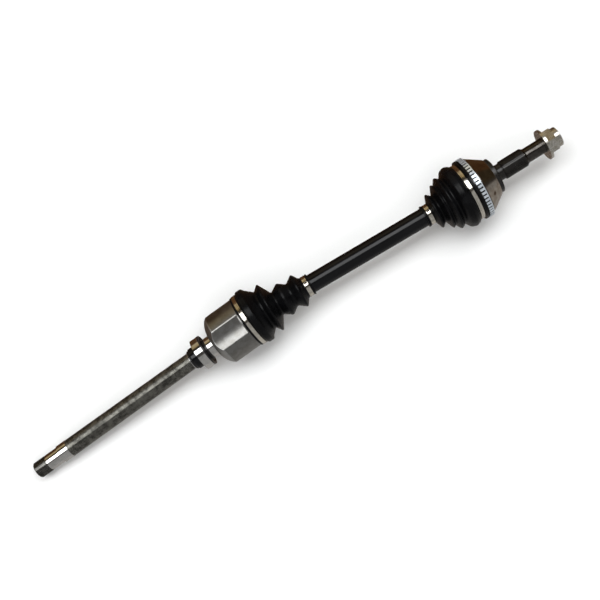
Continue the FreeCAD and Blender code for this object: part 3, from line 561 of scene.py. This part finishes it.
def clamp(node, matrix, centre, reach, body, half):
    """An ear clamp: a beaded band, the crimped ear and the band's tail beside it."""
    gauge = 0.7
    bead = [(-half, reach), (half, reach), (half, reach + 0.45), (half - 0.4, reach + gauge),
            (1.3, reach + gauge), (0.9, reach + 0.35), (-0.9, reach + 0.35), (-1.3, reach + gauge),
            (0.4 - half, reach + gauge), (-half, reach + 0.45)]

    def place(along, distance, angle):
        return at(matrix, centre + along, distance, angle)

    mesh = swept(node + "_mesh", softened(bead, 0.18, 2), place, CLAMP_COUNT)
    vertices = [vertex.co.copy() for vertex in mesh.vertices]
    faces = [tuple(face.vertices) for face in mesh.polygons]
    foot = 3.6 / reach
    rise = [(-1.9, 0.05), (-1.25, 0.10), (-1.0, 0.50), (-0.82, 1.25), (-1.0, 1.75), (-0.7, 2.0), (0.0, 1.8),
            (0.7, 2.0), (1.0, 1.75), (0.82, 1.25), (1.0, 0.50), (1.25, 0.10), (1.9, 0.05)]
    ear = [(foot * share, reach + 0.3 + height * 0.75) for share, height in rise]
    add_strip(vertices, faces, strip_loop(ear, [half - 0.9] * len(ear), 0.55), place)
    tail = [(foot * 1.9 + (12.0 / reach) * step / 14, reach + 0.55) for step in range(15)]
    wide = [half - 0.5] * 11 + [half - 0.8, half - 1.2, half - 1.7, half - 2.3]
    add_strip(vertices, faces, strip_loop(tail, wide, 0.5), place)
    joined = bpy.data.meshes.new(node + "_band")
    joined.from_pydata(vertices, [], faces)
    clean(joined)
    piece = finished(node + "_band", joined, strap_steel(node + "_steel", matrix), CLAMP_SHARP)
    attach(piece, body)
    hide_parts(node)


clamp("inner_boot_large_clamp", INNER, 10.2, 43.85, "housing", 3.0)
clamp("inner_boot_small_clamp", BAR, 113.5, 16.65, "drive_bar", 3.5)
clamp("outer_boot_large_clamp", WHEEL, -18.8, 46.85, "bell", 3.2)
clamp("outer_boot_small_clamp", BAR_OUT, -87.1, 16.35, "drive_bar", 3.5)

# ---------------------------------------------------------------- floor, light and camera
FLOOR_SIZE, FLOOR_GAP = 14.0, 0.0005
SKY_STRENGTH = 4.5
SURROUND = (0.175, 0.175, 0.175, 1.0)
UNLIT = (0.013, 0.010, 0.006, 1.0)
TABLE_NEAR, TABLE_FAR = (0.100, 0.098, 0.095, 1.0), (0.022, 0.011, 0.005, 1.0)
SKY_STOPS = [
    (0.00, (0.078, 0.078, 0.077)), (0.36, (0.076, 0.076, 0.076)), (0.42, (0.018, 0.017, 0.016)),
    (0.57, (0.008, 0.007, 0.007)), (0.60, (0.97, 0.99, 1.00)), (0.79, (0.97, 0.99, 1.00)),
    (0.82, (0.008, 0.006, 0.005)), (0.90, (0.009, 0.007, 0.004)), (0.93, (0.100, 0.076, 0.038)),
    (1.00, (0.115, 0.094, 0.060)),
]
low, high = CAD_BOX
middle = (low + high) / 2


def flat_square(name, size, centre):
    mesh = bpy.data.meshes.new(name)
    half = size / 2
    mesh.from_pydata([(-half, -half, 0), (half, -half, 0), (half, half, 0), (-half, half, 0)], [],
                     [(0, 1, 2, 3)])
    square = bpy.data.objects.new(name, mesh)
    square.location = centre
    bpy.context.scene.collection.objects.link(square)
    return square


floor = flat_square("floor", FLOOR_SIZE, (middle.x, middle.y, low.z - FLOOR_GAP))
paper = Paint("paper")
fibre = paper.noise(3.0, 4.0, 0.6)
paper.set(Base_Color=paper.mix(fibre, (0.90, 0.90, 0.895), (0.86, 0.86, 0.86)), Roughness=0.9,
          Specular_IOR_Level=0.15)
floor.data.materials.append(paper.material)
floor.visible_glossy = False


def sky(world):
    """A studio that lights the axle and shows in its reflections; the camera sees a plain pale surround.

    A strip light hangs on the +Y side with a warm wall beyond it, a grey card stands opposite, and a
    dark table lies below.
    """
    tree = world.node_tree
    tree.nodes.clear()

    def node(kind, inputs=None, **settings):
        return add_node(tree, kind, inputs, **settings)

    way = node("SeparateXYZ", {0: node("TexCoord").outputs["Generated"]}).outputs
    across = node("Math", {0: way[1], 1: 0.5, 2: 0.5}, operation="MULTIPLY_ADD").outputs[0]
    ramp = node("ValToRGB", {0: across})
    ramp.color_ramp.interpolation = "EASE"
    for place, colour in SKY_STOPS[2:]:
        ramp.color_ramp.elements.new(place)
    for element, (place, colour) in zip(ramp.color_ramp.elements, SKY_STOPS):
        element.position, element.color = place, (*colour, 1.0)

    def rise(value, start, end):
        return node("MapRange", {0: value, 1: start, 2: end, 3: 0.0, 4: 1.0},
                    interpolation_type="SMOOTHSTEP").outputs[0]

    def mixed(share, first, second):
        return node("Mix", {0: share, 6: first, 7: second}, data_type="RGBA").outputs[2]

    aside = node("Math", {0: way[0]}, operation="ABSOLUTE").outputs[0]
    dim = node("Math", {0: rise(aside, 0.50, 0.72), 1: rise(way[1], -0.2, 0.0)},
               operation="MULTIPLY").outputs[0]
    above = mixed(dim, ramp.outputs[0], UNLIT)
    below = mixed(rise(way[1], -0.6, 0.3), TABLE_NEAR, TABLE_FAR)
    studio = mixed(rise(way[2], -0.10, 0.05), below, above)
    seen = node("LightPath").outputs["Is Camera Ray"]
    background = node("Background", {0: mixed(seen, studio, SURROUND), 1: SKY_STRENGTH})
    output = node("OutputWorld")
    tree.links.new(background.outputs[0], output.inputs[0])


world = bpy.data.worlds.new("studio")
bpy.context.scene.world = world
world.use_nodes = True
sky(world)
bpy.context.scene.view_settings.view_transform = "Standard"


def fill_light(name, place, size, power):
    """A wide soft light from above that leaves no reflection of its own."""
    light = bpy.data.lights.new(name, "AREA")
    light.shape, light.size, light.size_y, light.energy = "RECTANGLE", *size, power
    lamp = bpy.data.objects.new(name, light)
    lamp.location = place
    lamp.visible_glossy = False
    lamp.visible_camera = False
    bpy.context.scene.collection.objects.link(lamp)


FILL_HEIGHT, FILL_SIZE, FILL_POWER = 2.4, (5.0, 4.0), 45.0
fill_light("fill_light", (middle.x, middle.y - 0.4, FILL_HEIGHT), FILL_SIZE, FILL_POWER)

TURN = math.radians(31.8)
CAMERA_HEIGHT, LENS, SENSOR = 1.7825, 69.0, 36.0
camera_data = bpy.data.cameras.new("camera")
camera_data.lens, camera_data.sensor_width = LENS, SENSOR
camera = bpy.data.objects.new("camera", camera_data)
right = Vector((math.cos(TURN), -math.sin(TURN), 0))
upward = Vector((math.sin(TURN), math.cos(TURN), 0))
AIM_ALONG, AIM_ASIDE = 0.093, -0.013
aim = TRIPOD_CENTRE + AIM_ALONG * BAR_WAY + AIM_ASIDE * BAR.col[1].xyz
facing = Matrix((right, upward, UP)).transposed().to_4x4()
camera.matrix_world = Matrix.Translation(aim + CAMERA_HEIGHT * UP) @ facing
bpy.context.scene.collection.objects.link(camera)
bpy.context.scene.camera = camera
